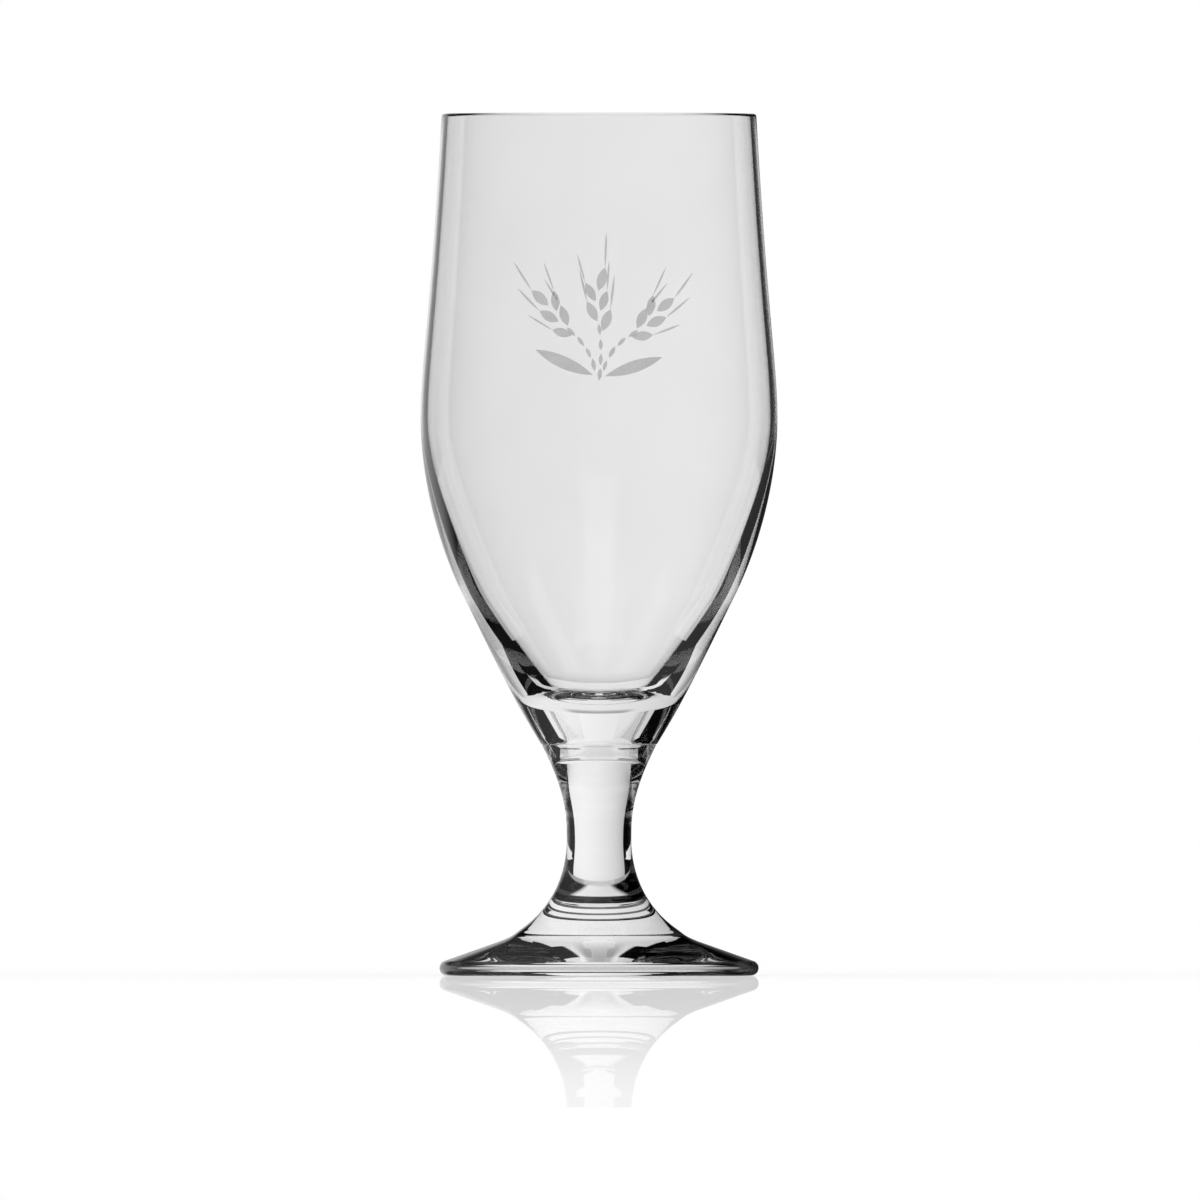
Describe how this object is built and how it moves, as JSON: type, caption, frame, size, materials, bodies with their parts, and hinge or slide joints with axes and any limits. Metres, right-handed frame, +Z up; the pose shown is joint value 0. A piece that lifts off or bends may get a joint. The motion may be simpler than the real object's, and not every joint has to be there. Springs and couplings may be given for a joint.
{
  "type": "pilsner glass",
  "caption": "Clear stemmed pilsner glass: a thin tulip-shaped bowl on its own solid base, fused to a short solid stem that flares into a round flat foot.",
  "frame": {"origin": "centre of the flat underside of the foot, on the surface that the glass stands on", "axes": "+Z up along the glass's axis of revolution, from the foot to the rim; +X to the right and +Y away from a person who looks at the front"},
  "size_m": [0.0746, 0.0746, 0.18],
  "materials": {
    "glass": "clear and colourless, fire-polished",
    "print": "thin grey satin enamel print"
  },
  "bodies": {
    "root": {"bowl": "glass", "stem_and_foot": "glass"}
  },
  "joints": []
}
